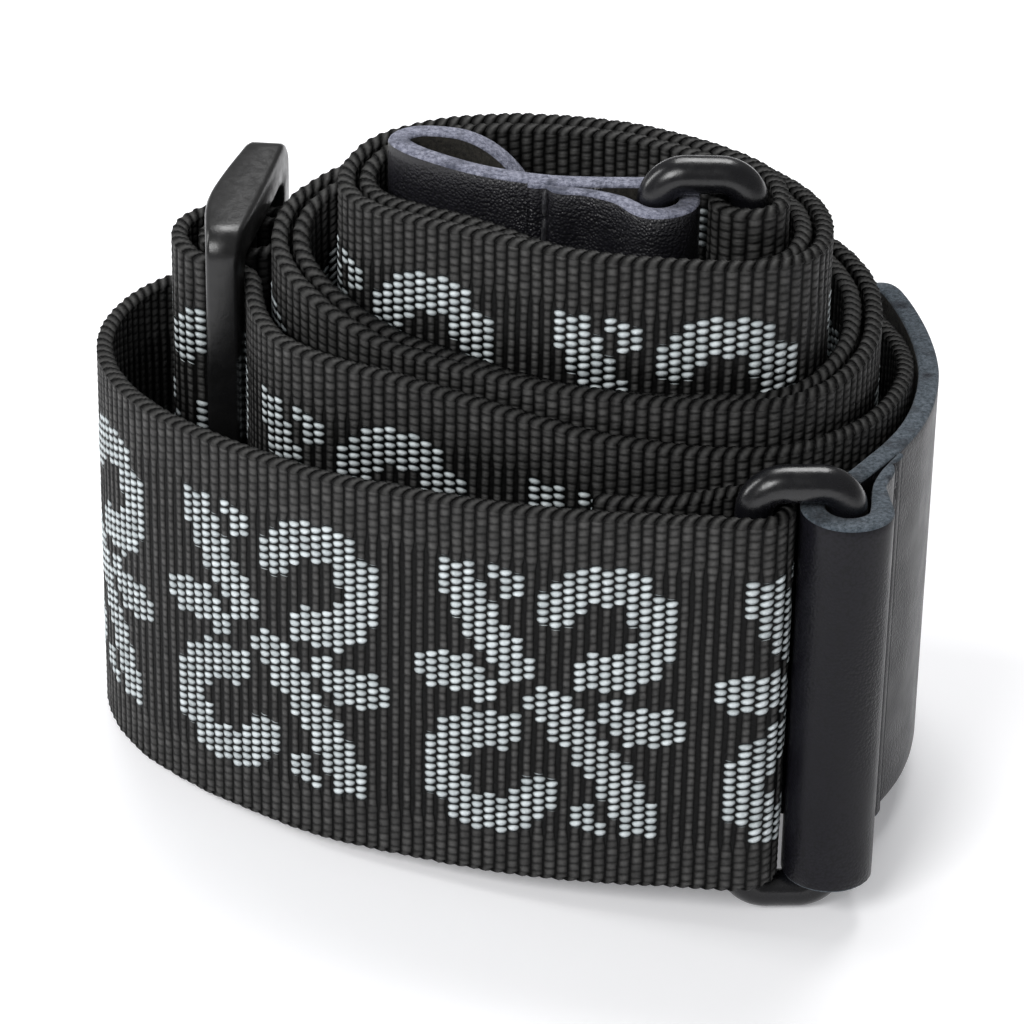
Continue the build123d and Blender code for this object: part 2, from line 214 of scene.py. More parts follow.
second_turn = [
    (-22.0, 43.4, 62.0), (-13.5, 45.9, 62.0), (0.0, 46.4, 62.0), (16.0, 44.3, 62.0), (29.5, 38.4, 62.0),
    (37.3, 29.6, 62.0), (40.8, 20.0, 62.0), (40.9, 11.4, 62.0), (39.4, 4.2, 61.8), (35.3, -3.0, 61.6),
    (29.3, -7.2, 61.6), (20.5, -8.0, 61.7), (9.8, -6.5, 61.8), (0.9, -3.7, 61.7), (-7.6, -0.1, 61.8),
    (-14.4, 3.2, 62.3), (-19.3, 6.2, 63.6), (-23.6, 10.0, 65.2), (-26.2, 14.2, 66.3), (-27.3, 19.0, 67.5),
    (-26.0, 24.2, 69.0), (-21.8, 28.6, 70.4), (-12.5, 33.5, 71.6), (0.0, 36.8, 72.2), (11.5, 35.6, 72.6),
    (22.5, 30.8, 73.2), (29.8, 23.4, 74.0), (34.0, 14.0, 75.0), (34.45, 6.8, 75.5), (33.0, 1.8, 75.8),
    (30.1, -1.2, 76.1), (26.3, -2.7, 76.4), (20.3, -3.1, 76.6), (9.4, -1.5, 76.4), (1.5, 1.6, 76.2),
    (-7.0, 5.7, 76.0), (-13.2, 9.2, 75.6), (-17.4, 12.8, 75.2), (-19.5, 17.0, 75.3), (-18.9, 21.8, 75.9),
    (-15.6, 25.9, 76.8), (-8.5, 28.6, 77.6), (2.0, 28.8, 78.2), (12.0, 26.0, 78.8), (20.2, 21.2, 79.3),
    (26.2, 15.8, 79.7), (28.5, 12.0, 79.9), (29.3, 8.8, 80.0),
]
inner_loop = around(INNER_BAR, LOOP_R, -20, -210, 9, 80.0)
slider_fold = [
    (-22.6, 38.4, 62.0), (-23.5, 35.5, 62.0), (-26.7, 33.0, 62.1), (-31.0, 32.2, 62.3), (-34.6, 31.9, 62.5),
    (-36.3, 29.4, 62.5), (-35.9, 26.6, 62.5), (-33.6, 25.0, 62.3), (-30.6, 24.8, 62.1), (-28.5, 26.2, 62.0),
    (-26.9, 28.6, 62.0), (-24.9, 30.9, 62.0), (-23.2, 32.4, 62.0),
]
DROP, DROP_AT, DROP_REACH = 2.6, (14, -1), (16, 7)  # where and how far the returning ply hangs lower


def dropped(s):
    """Height of the returning ply's top edge, which hides below the other's along the third front."""
    front = math.exp(
        -(((s[0] - DROP_AT[0]) / DROP_REACH[0]) ** 2) - ((s[1] - DROP_AT[1]) / DROP_REACH[1]) ** 2
    )
    return s[2] - DROP * front


STEP = 1.6  # between the route's stations
doubled = lay(through_slider[-2:] + second_turn, STEP)
back = [[*b[:2], dropped(s)] for s, b in zip(doubled, beside(doubled, PLY))]
# The returning ply leaves the inner ring at the last of these stations and reaches the slider at the first.
first = next(i for i, s in enumerate(doubled) if s[0] > -24.6 and s[1] > 41.5)
last = next(i for i, s in enumerate(doubled) if s[0] > 26.2 and s[2] > 79.0)
strap = lay(
    outer_loop + outer_turn + through_slider + second_turn + inner_loop
    + [tuple(s) for s in back[last:first:-2]] + slider_fold,
    STEP,
)

# The CAD part stands with the middle of its base at the origin: the route is moved to where the webbing is.
web_low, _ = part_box("webbing")
left_face = beside(strap, -WEB_T / 2)
HOME = Vector((
    web_low.x / MM - min(s[0] for s in left_face),
    web_low.y / MM - min(s[1] for s in left_face),
    0,
))


# --- meshes ------------------------------------------------------------------------------------


def mesh_object(name, points, faces, materials, smooth=True):
    """An object from millimetre points and faces that all have the same number of corners."""
    mesh = bpy.data.meshes.new(name)
    faces = np.asarray(faces, np.int32)
    points = (np.asarray(points, float) + np.array(HOME)) * MM
    mesh.vertices.add(len(points))
    mesh.vertices.foreach_set("co", points.astype(np.float32).ravel())
    count, corners = faces.shape
    mesh.loops.add(count * corners)
    mesh.loops.foreach_set("vertex_index", faces.ravel())
    mesh.polygons.add(count)
    mesh.polygons.foreach_set("loop_start", np.arange(count, dtype=np.int32) * corners)
    mesh.polygons.foreach_set("use_smooth", np.full(count, smooth))
    mesh.update(calc_edges=True)
    mesh.validate()
    for material in materials:
        mesh.materials.append(material)
    obj = bpy.data.objects.new(name, mesh)
    bpy.context.scene.collection.objects.link(obj)
    return obj


def tube_quads(rows, columns, closed_rows=False):
    """Quads of a grid of rows by columns whose columns close into a ring."""
    r = np.arange(rows if closed_rows else rows - 1)[:, None]
    c = np.arange(columns)[None, :]
    a = r * columns + c
    b = r * columns + (c + 1) % columns
    d = ((r + 1) % rows) * columns + c
    e = ((r + 1) % rows) * columns + (c + 1) % columns
    return np.stack([a, b, e, d], axis=-1).reshape(-1, 4)


def band(name, line, right, across, height, mirrored, materials):
    """A section swept along a line, with closed ends that are shaded flat so that they keep a crisp rim.

    across and height hold a station's section in each row. Gives the object and its number of side faces."""
    count, corners = across.shape
    points = np.stack(
        [line[:, :1] + right[:, :1] * across, line[:, 1:2] + right[:, 1:2] * across, height], axis=-1
    ).reshape(-1, 3)
    sides = tube_quads(count, corners)
    if mirrored:
        sides = sides[:, ::-1]
    ends = []
    for start, flip in ((0, mirrored), ((count - 1) * corners, not mirrored)):
        middle = len(points)
        points = np.vstack([points, points[start : start + corners].mean(axis=0)])
        for k in range(0, corners, 2):
            quad = (start + k, start + (k + 1) % corners, start + (k + 2) % corners, middle)
            ends.append(quad[::-1] if flip else quad)
    obj = mesh_object(name, points, np.vstack([sides, np.array(ends)]), materials)
    smooth = np.ones(len(obj.data.polygons), bool)
    smooth[len(sides) :] = False
    obj.data.polygons.foreach_set("use_smooth", smooth)
    obj.data.update()
    return obj, len(sides)


def round_corners(low, high, radius, steps):
    """Points round a rectangle with round corners, each with its outward direction."""
    (low_x, low_z), (high_x, high_z) = low, high
    corners = (
        (high_x - radius, high_z - radius), (low_x + radius, high_z - radius),
        (low_x + radius, low_z + radius), (high_x - radius, low_z + radius),
    )
    out = []
    for corner, (x, z) in enumerate(corners):
        for k in range(steps + 1):
            a = math.radians(90 * corner + 90 * k / steps)
            out.append((x + radius * math.cos(a), z + radius * math.sin(a), math.cos(a), math.sin(a)))
    return out


def filled(path, counts):
    """A closed path with each of its lengths cut into its own number of steps."""
    out = []
    for p, q, count in zip(path, path[1:] + path[:1], counts):
        out += [tuple(a + (b - a) * k / count for a, b in zip(p, q)) for k in range(count)]
    return out


# --- the woven figure --------------------------------------------------------------------------


def stroke_distance(x, y, stroke):
    """Distance of points to a line of points."""
    best = np.full(np.shape(x), 1e9)
    for (ax, ay), (bx, by) in zip(stroke, stroke[1:]):
        dx, dy = bx - ax, by - ay
        t = np.clip(((x - ax) * dx + (y - ay) * dy) / (dx * dx + dy * dy), 0, 1)
        best = np.minimum(best, np.hypot(x - ax - t * dx, y - ay - t * dy))
    return best


# Half a figure's strokes: along and across the webbing, from the figure's middle.
STROKES = [
    [(-13.2, 2.8), (-8.6, 2.4), (-5.0, -1.6), (-3.0, -4.6)],
    around((6.4, 10.2), 5.9, 160, -262, 8),
    [(-13.0, 15.6), (-5.6, 14.8)],
    [(-10.8, 15.2), (-8.0, 9.6), (0.0, 0.0)],
]


def figure():
    """Which cells of a repeat are silver: scrolls and slanted bars that pass over each other.

    Each stroke has a twin turned half round the figure's middle."""
    columns, rows = np.meshgrid(np.arange(REPEAT), np.arange(ROWS))
    x = (REPEAT / 2 - columns - 0.5) * RIB
    y = (rows + 0.5 - ROWS / 2) * ROW
    lit = np.zeros(x.shape, bool)
    for stroke in STROKES:
        for turn in (1, -1):
            near = np.full(x.shape, 1e9)
            for over in (-REPEAT * RIB, 0, REPEAT * RIB):
                placed = [(turn * a + over, turn * b) for a, b in stroke]
                near = np.minimum(near, stroke_distance(x, y, placed))
            lit = (lit & (near > STROKE_R + STROKE_GAP)) | (near < STROKE_R)
    lit[:BORDER] = False
    lit[-BORDER:] = False
    neighbours = sum(np.roll(lit, way, axis).astype(int) for way in (1, -1) for axis in (0, 1))
    return lit & (neighbours > 1)


FIGURE = figure()


def woven(column, row):
    """Whether the silver yarn is on the face at a rib and a row."""
    inside = (row >= 0) & (row < ROWS)
    return FIGURE[np.clip(row, 0, ROWS - 1), column % REPEAT] & inside


# --- webbing -----------------------------------------------------------------------------------


def web_section():
    """Up the outer face, over the top edge, down the inner face and under.

    Gives each point's place across, its height, its outward direction (across, up) and its part."""
    body = WEB_W / 2 - EDGE_R
    outer = np.linspace(-body, body, 2 * ROWS + 1)
    inner = np.concatenate([
        np.linspace(body, body - FINE_ROWS * ROW, 2 * FINE_ROWS + 1),
        np.linspace(body - (FINE_ROWS + 2) * ROW, -body, COARSE_POINTS),
    ])
    turn = np.linspace(0, np.pi, 8)[1:-1]
    bulge = [(HALF_T * math.cos(a), body + EDGE_R * math.sin(a), math.cos(a), math.sin(a)) for a in turn]
    section = (
        [(-HALF_T, z, -1, 0, FACE) for z in outer]
        + [(-x, z, -out_x, out_z, EDGE) for x, z, out_x, out_z in bulge]
        + [(HALF_T, z, 1, 0, BACK) for z in inner]
        + [(x, -z, out_x, -out_z, EDGE) for x, z, out_x, out_z in bulge]
    )
    return [np.array(values, float) for values in zip(*section)]


def webbing(material):
    """The woven band, with its ribs, floats and roped edges raised; gives the object and its length."""
    line, _, right = swept_line(strap, FINE_STEP, RIB / PER_RIB)
    across, up, out_across, out_up, part = web_section()
    gone = np.arange(len(line)) * RIB / PER_RIB
    rib = np.floor(gone / RIB + 1e-6).astype(int)
    along = gone / RIB - rib
    row = (up + WEB_W / 2) / ROW

    # Every second rib's rows are moved by half a row.
    place = row[None, :] + 0.5 * (rib % 2)[:, None]
    lit = woven(rib[:, None], np.floor(place - 1e-6).astype(int)) & (part != BACK)
    arch = np.maximum(np.sin(np.pi * along), 0)[:, None]
    bead = np.sin(np.pi * (place - np.floor(place)))
    silver_rise = SILVER_RISE * arch**0.6 * (1 - SILVER_DIP * (1 - bead))
    black_rise = BLACK_RISE * arch * (1 - BLACK_DIP * (1 - bead))
    slant = np.abs(np.sin(np.pi * (gone[:, None] / RIB + STRAND_LEAN * across[None, :] / HALF_T)))
    # The edge is not cut with a ruler: it swells a little from rib to rib.
    rng = np.random.default_rng(7)
    swell = np.repeat(rng.normal(0, EDGE_SWELL, len(line) // PER_RIB + 1), PER_RIB)[: len(line)]
    edge_rise = EDGE_RISE * slant + swell[:, None]
    rise = np.where(part == EDGE, edge_rise, np.where(lit, silver_rise, black_rise))

    height = (line[:, 2] - WEB_W / 2)[:, None] + up + rise * out_up
    obj, sides = band("webbing_weave", line, right, across + rise * out_across, height, False, [material])
    mark_weave(obj.data, sides, gone, rib, row)
    return obj, len(line) * RIB / PER_RIB


def mark_weave(mesh, sides, gone, rib, row):
    """Tells the material where it is: the face's silver and edge marks, and a UV map of ribs and rows."""
    across, up, _, _, part = web_section()
    station, corner = np.divmod(np.arange(sides), len(part))
    on_edge = (part == EDGE) | (np.roll(part, -1) == EDGE)
    row_low, row_high = row.copy(), np.roll(row, -1)
    lift = 0.5 * (rib[station] % 2)
    middle = (row_low[corner] + row_high[corner]) / 2 + lift
    turned = EDGE_ROW + np.where(up > 0, across, -across) / (2 * HALF_T) + 0.5
    row_low[on_edge] = turned[on_edge]
    row_high[on_edge] = np.roll(turned, -1)[on_edge]

    lit = woven(rib[station], np.floor(middle).astype(int)) & (part[corner] == FACE)
    for name, values, at_ends in (("silver", lit, 0), ("edge", on_edge[corner], 1)):
        marks = np.full(len(mesh.polygons), at_ends, np.float32)
        marks[:sides] = values
        mesh.attributes.new(name, "FLOAT", "FACE").data.foreach_set("value", marks)

    low, high = (edge[corner] + np.where(on_edge[corner], 0, lift) for edge in (row_low, row_high))
    near, far = gone[station] / RIB, gone[station] / RIB + 1 / PER_RIB
    corners = np.stack([near, low, near, high, far, high, far, low], axis=-1)
    values = np.zeros((len(mesh.loops), 2), np.float32)
    values[: 4 * sides] = corners.reshape(-1, 2)
    mesh.uv_layers.new(name="weave").data.foreach_set("uv", values.ravel())


# --- leather -----------------------------------------------------------------------------------


@dataclass
class Tab:
    """A leather tab: arm, fold and flap, seen from above."""

    name: str
    node: str  # the CAD node that it replaces
    body: str  # the body that it rides on
    arm: list  # from the free end to the fold
    fold: list  # round the ring's bar, with the leather's thickness
    flap: list  # back along the arm, with its thickness
    side: int  # 1 when the leather's thickness lies to the right of its line, -1 to the left
    middle: float  # the height half-way up it
    hole_reach: float  # from the free end to the button hole
    seam_back: float  # from the flap's end to the seam
    edge: object  # material of the cut edges
    grain: object  # material of the outward faces

    def points(self):
        return [(*p, LEATHER_T) for p in self.arm] + self.fold + self.flap

    def arm_length(self):
        return sum(math.dist(a, b) for a, b in zip(self.arm, self.arm[1:]))


def tab_section():
    """Up one face, over the cut edge, down the other face and under.

    Gives each point's share of the thickness, share of the height, distance past it and part."""
    heights = np.linspace(-1, 1, TAB_ROWS)
    edge = [
        (0.05, CUT_ROUND * 0.75), (0.14, CUT_ROUND), (0.5, CUT_ROUND + 0.03), (0.86, CUT_ROUND),
        (0.95, CUT_ROUND * 0.75),
    ]
    section = (
        [(0.0, h, 0, FACE) for h in heights]
        + [(share, 1, past, EDGE) for share, past in edge]
        + [(1.0, -h, 0, BACK) for h in heights]
        + [(share, -1, past, EDGE) for share, past in edge[::-1]]
    )
    return [np.array(values, float) for values in zip(*section)]


def leather_tab(tab, flesh):
    """A folded tab with soft cut edges, a grooved seam and a button hole.

    Gives its object, the station of its seam and the direction out of the leather there."""
    line, ahead, right = swept_line(tab.points(), TAB_STEP, TAB_STEP)
    right = right * tab.side
    count = len(line)
    gone = np.arange(count) * TAB_STEP
    to_end = (count - 1 - np.arange(count)) * TAB_STEP
    groove = 1 - GROOVE_DEPTH * np.exp(-(((to_end - tab.seam_back) / GROOVE_HALF) ** 2))
    thick = np.maximum(line[:, 2] * groove, THINNEST)
    corner_left = np.maximum(TAB_CORNER - gone, 0)
    half = LEATHER_W / 2 - (TAB_CORNER - np.sqrt(TAB_CORNER**2 - corner_left**2))

    share, high, past, part = tab_section()
    height = tab.middle + high * (half[:, None] - CUT_ROUND) + np.sign(high) * past
    obj, sides = band(
        tab.name, line, right, share * thick[:, None], height, tab.side < 0, [flesh, tab.edge, tab.grain],
    )

    # The grain is on the arm's outward face, and round the bar and on the flap on the other one.
    corners = len(part)
    station, corner = np.divmod(np.arange(sides), corners)
    slot = np.where((part == EDGE) | (np.roll(part, -1) == EDGE), EDGE, part).astype(int)[corner]
    on_arm = station < tab.arm_length() / TAB_STEP
    slots = np.full(len(obj.data.polygons), BACK, np.int32)
    slots[:sides] = np.where(on_arm & (slot != EDGE), BACK - slot, slot)
    slots[sides : sides + corners // 2] = EDGE
    obj.data.polygons.foreach_set("material_index", slots)

    i = int(tab.hole_reach / TAB_STEP)
    out = Vector((*right[i], 0))
    spot = (Vector((*line[i][:2], tab.middle)) + out * LEATHER_T / 2 + HOME) * MM
    cut_hole(obj, spot, Vector((*ahead[i], 0)), tab.edge)

    seam = count - 1 - round(tab.seam_back / TAB_STEP)
    return obj, line[seam], Vector((*right[seam], 0))


def cut_hole(obj, spot, ahead, material):
    """Cuts the button hole and its slit, and gives their walls the material of the cut edges."""
    hole = bmesh.new()
    bmesh.ops.create_cone(
        hole, cap_ends=True, segments=40, radius1=HOLE_R * MM, radius2=HOLE_R * MM, depth=CUTTER_T * MM,
    )
    slit = bmesh.new()
    bmesh.ops.create_cube(slit, size=1.0)
    bmesh.ops.scale(slit, vec=(SLIT_L * MM, SLIT_W * MM, CUTTER_T * MM), verts=slit.verts)
    bmesh.ops.translate(slit, vec=((HOLE_R + SLIT_L / 2 - SLIT_OVERLAP) * MM, 0, 0), verts=slit.verts)
    for shape in (hole, slit):
        cutter_mesh = bpy.data.meshes.new("cutter")
        shape.to_mesh(cutter_mesh)
        shape.free()
        cutter_mesh.materials.append(material)
        cutter = bpy.data.objects.new("cutter", cutter_mesh)
        cutter.matrix_world = (
            Matrix.Translation(spot) @ Matrix((ahead, UP, ahead.cross(UP))).transposed().to_4x4()
        )
        bpy.context.scene.collection.objects.link(cutter)
        modifier = obj.modifiers.new("cut", "BOOLEAN")
        modifier.operation = "DIFFERENCE"
        modifier.object = cutter
        modifier.solver = "EXACT"
        modifier.material_mode = "TRANSFER"
        bpy.context.view_layer.update()
        scene_now = bpy.context.evaluated_depsgraph_get()
        cut_mesh = bpy.data.meshes.new_from_object(obj.evaluated_get(scene_now))
        obj.modifiers.clear()
        obj.data = cut_mesh
        bpy.data.objects.remove(cutter)


# --- moulded parts -----------------------------------------------------------------------------


def ring(name, webbing_bar, tab_bar, middle, material):
    """Round rod bent to a rectangle, with the mould's parting line round its outside and inside."""
    wide = Vector((tab_bar[0] - webbing_bar[0], tab_bar[1] - webbing_bar[1], 0)).normalized()
    deep = wide.cross(UP)
    centre = Vector(((webbing_bar[0] + tab_bar[0]) / 2, (webbing_bar[1] + tab_bar[1]) / 2, middle))
    half_h = (RING_H - ROD) / 2
    path = round_corners((-RING_BAR, -half_h), (RING_BAR, half_h), RING_CORNER, RING_CORNER_STEPS)
    lengths = [math.dist(p[:2], q[:2]) for p, q in zip(path, path[1:] + path[:1])]
    path = filled(path, [max(1, round(length)) for length in lengths])
    points = []
    for x, z, out_x, out_z in path:
        outward = (wide * out_x + UP * out_z) / math.hypot(out_x, out_z)
        spot = centre + wide * x + UP * z
        for k in range(RING_SIDES):
            a = 2 * math.pi * k / RING_SIDES
            flash = PARTING_H * math.exp(-((abs(math.sin(a)) / PARTING_HALF) ** 2))
            radius = ROD / 2 - PARTING_H + flash
            points.append(spot + outward * (radius * math.cos(a)) + deep * (radius * math.sin(a)))
    return mesh_object(name, points, tube_quads(len(path), RING_SIDES, closed_rows=True), [material])


def slider_outline(inset, radius):
    """Points (along, height) of the slider frame's outer or inner edge."""
    rail = RAIL_H if inset else 0
    low, high = (inset, SLIDER_LOW + rail), (SLIDER_L - inset, SLIDER_HIGH - rail)
    counts = ([1] * SLIDER_CORNER_STEPS + [STRAIGHT_STEPS]) * 4
    return filled(round_corners(low, high, radius, SLIDER_CORNER_STEPS), counts)


def slider_section():
    """Round the frame's section: share between its outer and inner edge, and between its two faces."""
    # A corner takes soft off each side, and the point in its middle is nick from one and far from the other.
    soft, nick, far = 0.13, 0.04, 0.13 * 0.35
    return [
        (0.0, soft), (0.0, 0.5), (0.0, 1 - soft), (nick, 1 - far), (soft, 1.0), (0.5, 1.0), (1 - soft, 1.0),
        (1 - nick, 1 - far), (1.0, 1 - soft), (1.0, 0.5), (1.0, soft), (1 - nick, far), (1 - soft, 0.0),
        (0.5, 0.0), (soft, 0.0), (nick, far),
    ]


def slider(material):
    """Three-bar adjuster: a flat frame bent at its middle, and the bar across its middle."""
    rails = [even(lay(rail, RAIL_STEP), RAIL_STEP) for rail in (SLIDER_OUTSIDE, SLIDER_INSIDE)]
    section = slider_section()
    outer, inner = slider_outline(0, SLIDER_OUTER_CORNER), slider_outline(SLIDER_BAR, SLIDER_INNER_CORNER)
    points = []
    for (outer_along, outer_z, *_), (inner_along, inner_z, *_) in zip(outer, inner):
        for depth, face in section:
            share = (outer_along + (inner_along - outer_along) * depth) / SLIDER_L
            z = outer_z + (inner_z - outer_z) * depth
            left, right = (
                [np.interp(share, np.linspace(0, 1, len(rail)), rail[:, axis]) for axis in (0, 1)]
                for rail in rails
            )
            x, y = (a + (b - a) * face for a, b in zip(left, right))
            on_top_rail = z > SLIDER_HIGH - RAIL_H - 1
            points.append((x, y, z + (FAR_RISE * share if on_top_rail else 0)))
    quads = tube_quads(len(outer), len(section), closed_rows=True)
    frame_obj = mesh_object("slider_frame", points, quads, [material])

    half = SLIDER_BAR / 2
    outline = round_corners((-half, -half), (half, half), BAR_CORNER, BAR_CORNER_STEPS)
    bar_x, bar_y = SLIDER_CENTRE_BAR
    low, high = SLIDER_LOW + RAIL_H - BAR_REACH, SLIDER_HIGH - RAIL_H + BAR_REACH
    levels = np.linspace(low, high, BAR_LEVELS)
    points = [(bar_x + x, bar_y + y, z) for z in levels for x, y, *_ in outline]
    bar_obj = mesh_object("slider_centre_bar", points, tube_quads(len(levels), len(outline)), [material])
    return frame_obj, bar_obj


# --- threads -----------------------------------------------------------------------------------


def thread_row(name, spots, tangent, outward, pitch, material):
    """A row of upright stitches, each a twisted thread that dips into the leather at both ends."""
    points, quads = [], []
    for spot in spots:
        quads.append(tube_quads(THREAD_STEPS, THREAD_SIDES) + len(points))
        for step in range(THREAD_STEPS):
            t = step / (THREAD_STEPS - 1)
            arch = math.sin(math.pi * t)
            lift = THREAD * (STITCH_ARCH * arch - STITCH_SUNK)
            middle = spot + UP * ((t - 0.5) * (pitch - STITCH_GAP)) + outward * lift
            for k in range(THREAD_SIDES):
                a = 2 * math.pi * k / THREAD_SIDES + MESH_TWIST * t
                strand = 1 + STRAND_DEPTH * math.cos(2 * a - STRAND_TWIST * t)
                radius = THREAD / 2 * (1 - END_THIN * (1 - min(1, 3 * arch))) * strand
                points.append(middle + tangent * (radius * math.cos(a)) + outward * (radius * math.sin(a)))
    return mesh_object(name, points, np.vstack(quads), [material])


def tab_stitches(tab, place, outward, material):
    """The seam that closes a tab's fold, laid in its groove."""
    spot = Vector((*place[:2], 0)) + outward * (place[2] * (1 - GROOVE_DEPTH) + THREAD_LIFT)
    low, high = tab.middle - LEATHER_W / 2 + SEAM_LOW, tab.middle + LEATHER_W / 2 - SEAM_HIGH
    pitch = (high - low) / STITCHES
    spots = [spot + UP * (low + pitch * (k + 0.5)) for k in range(STITCHES)]
    return thread_row(tab.body + "_threads", spots, UP.cross(outward), outward, pitch, material)


# --- materials ---------------------------------------------------------------------------------


class Nodes:
    """A material with a Principled shader, and short names for building its nodes."""

    def __init__(self, name):
        self.material = bpy.data.materials.new(name)
        self.material.use_nodes = True
        self.tree = self.material.node_tree
        self.tree.nodes.clear()
        output = self.tree.nodes.new("ShaderNodeOutputMaterial")
        self.shader = self.tree.nodes.new("ShaderNodeBsdfPrincipled")
        self.tree.links.new(self.shader.outputs[0], output.inputs[0])

    def put(self, socket, value):
        """Links a socket or sets its value."""
        if isinstance(value, bpy.types.NodeSocket):
            self.tree.links.new(value, socket)
        elif value is not None:
            socket.default_value = value

    def math(self, kind, a, b=None, c=None):
        node = self.tree.nodes.new("ShaderNodeMath")
        node.operation = kind
        for socket, value in zip(node.inputs, (a, b, c)):
            self.put(socket, value)
        return node.outputs[0]

    def mix(self, factor, a, b):
        """Between two colours."""
        node = self.tree.nodes.new("ShaderNodeMix")
        node.data_type = "RGBA"
        self.put(node.inputs[0], factor)
        self.put(node.inputs[6], a)
        self.put(node.inputs[7], b)
        return node.outputs[2]

    def between(self, factor, a, b):
        """Between two numbers."""
        node = self.tree.nodes.new("ShaderNodeMix")
        self.put(node.inputs[0], factor)
        self.put(node.inputs[2], a)
        self.put(node.inputs[3], b)
        return node.outputs[0]

    def noise(self, scale, detail, vector, rough=0.5):
        node = self.tree.nodes.new("ShaderNodeTexNoise")
        node.inputs["Scale"].default_value = scale
        node.inputs["Detail"].default_value = detail
        node.inputs["Roughness"].default_value = rough
        self.put(node.inputs["Vector"], vector)
        return node.outputs[0]

    def cells(self, scale, vector):
        node = self.tree.nodes.new("ShaderNodeTexVoronoi")
        node.inputs["Scale"].default_value = scale
        self.put(node.inputs["Vector"], vector)
        return node.outputs["Distance"]

    def here(self):
        return self.tree.nodes.new("ShaderNodeTexCoord").outputs["Object"]

    def mark(self, name):
        """A number that the mesh's faces carry."""
        node = self.tree.nodes.new("ShaderNodeAttribute")
        node.attribute_name = name
        return node.outputs["Fac"]

    def bump(self, height, distance, strength):
        node = self.tree.nodes.new("ShaderNodeBump")
        node.inputs["Strength"].default_value = strength
        node.inputs["Distance"].default_value = distance
        self.put(node.inputs["Height"], height)
        return node.outputs[0]

    def spread(self, value, low, high, to_low=0.0, to_high=1.0):
        """Stretches low to high over to_low to to_high, and stops at both."""
        node = self.tree.nodes.new("ShaderNodeMapRange")
        for socket, v in zip(node.inputs, (value, low, high, to_low, to_high)):
            self.put(socket, v)
        return node.outputs[0]

    def set(self, **values):
        """Sets the shader's sockets and gives the finished material."""
        names = {
            "color": "Base Color", "rough": "Roughness", "normal": "Normal", "sheen": "Sheen Weight",
            "sheen_rough": "Sheen Roughness", "coat": "Coat Weight", "coat_rough": "Coat Roughness",
            "specular": "Specular IOR Level", "glow_color": "Emission Color", "glow": "Emission Strength",
        }
        for key, value in values.items():
            self.put(self.shader.inputs[names[key]], value)
        return self.material


# black yarn, and its painted highlight
YARN_BLACK, YARN_BLACK_HIGHLIGHT = (0.0022, 0.0021, 0.0021, 1), (0.079, 0.078, 0.0765, 1)
YARN_SUNK_SHADE = (0.006, 0.006, 0.006, 1)  # painted shade of a black yarn that lies deeper, put on yarns picked at random
# silver yarn, and its painted highlight
YARN_SILVER, YARN_SILVER_HIGHLIGHT = (0.30, 0.335, 0.345, 1), (0.75, 0.81, 0.83, 1)
# painted shade towards a silver float's rim
YARN_SILVER_RIM_SHADE = (0.16, 0.185, 0.19, 1)
YARN_GAP_HIGHLIGHT = (0.012, 0.0125, 0.013, 1)  # black yarn between silver floats, with a faint painted highlight down the rib's middle
# painted highlight on the edge's strands
YARN_EDGE_HIGHLIGHT = (0.053, 0.0525, 0.0515, 1)


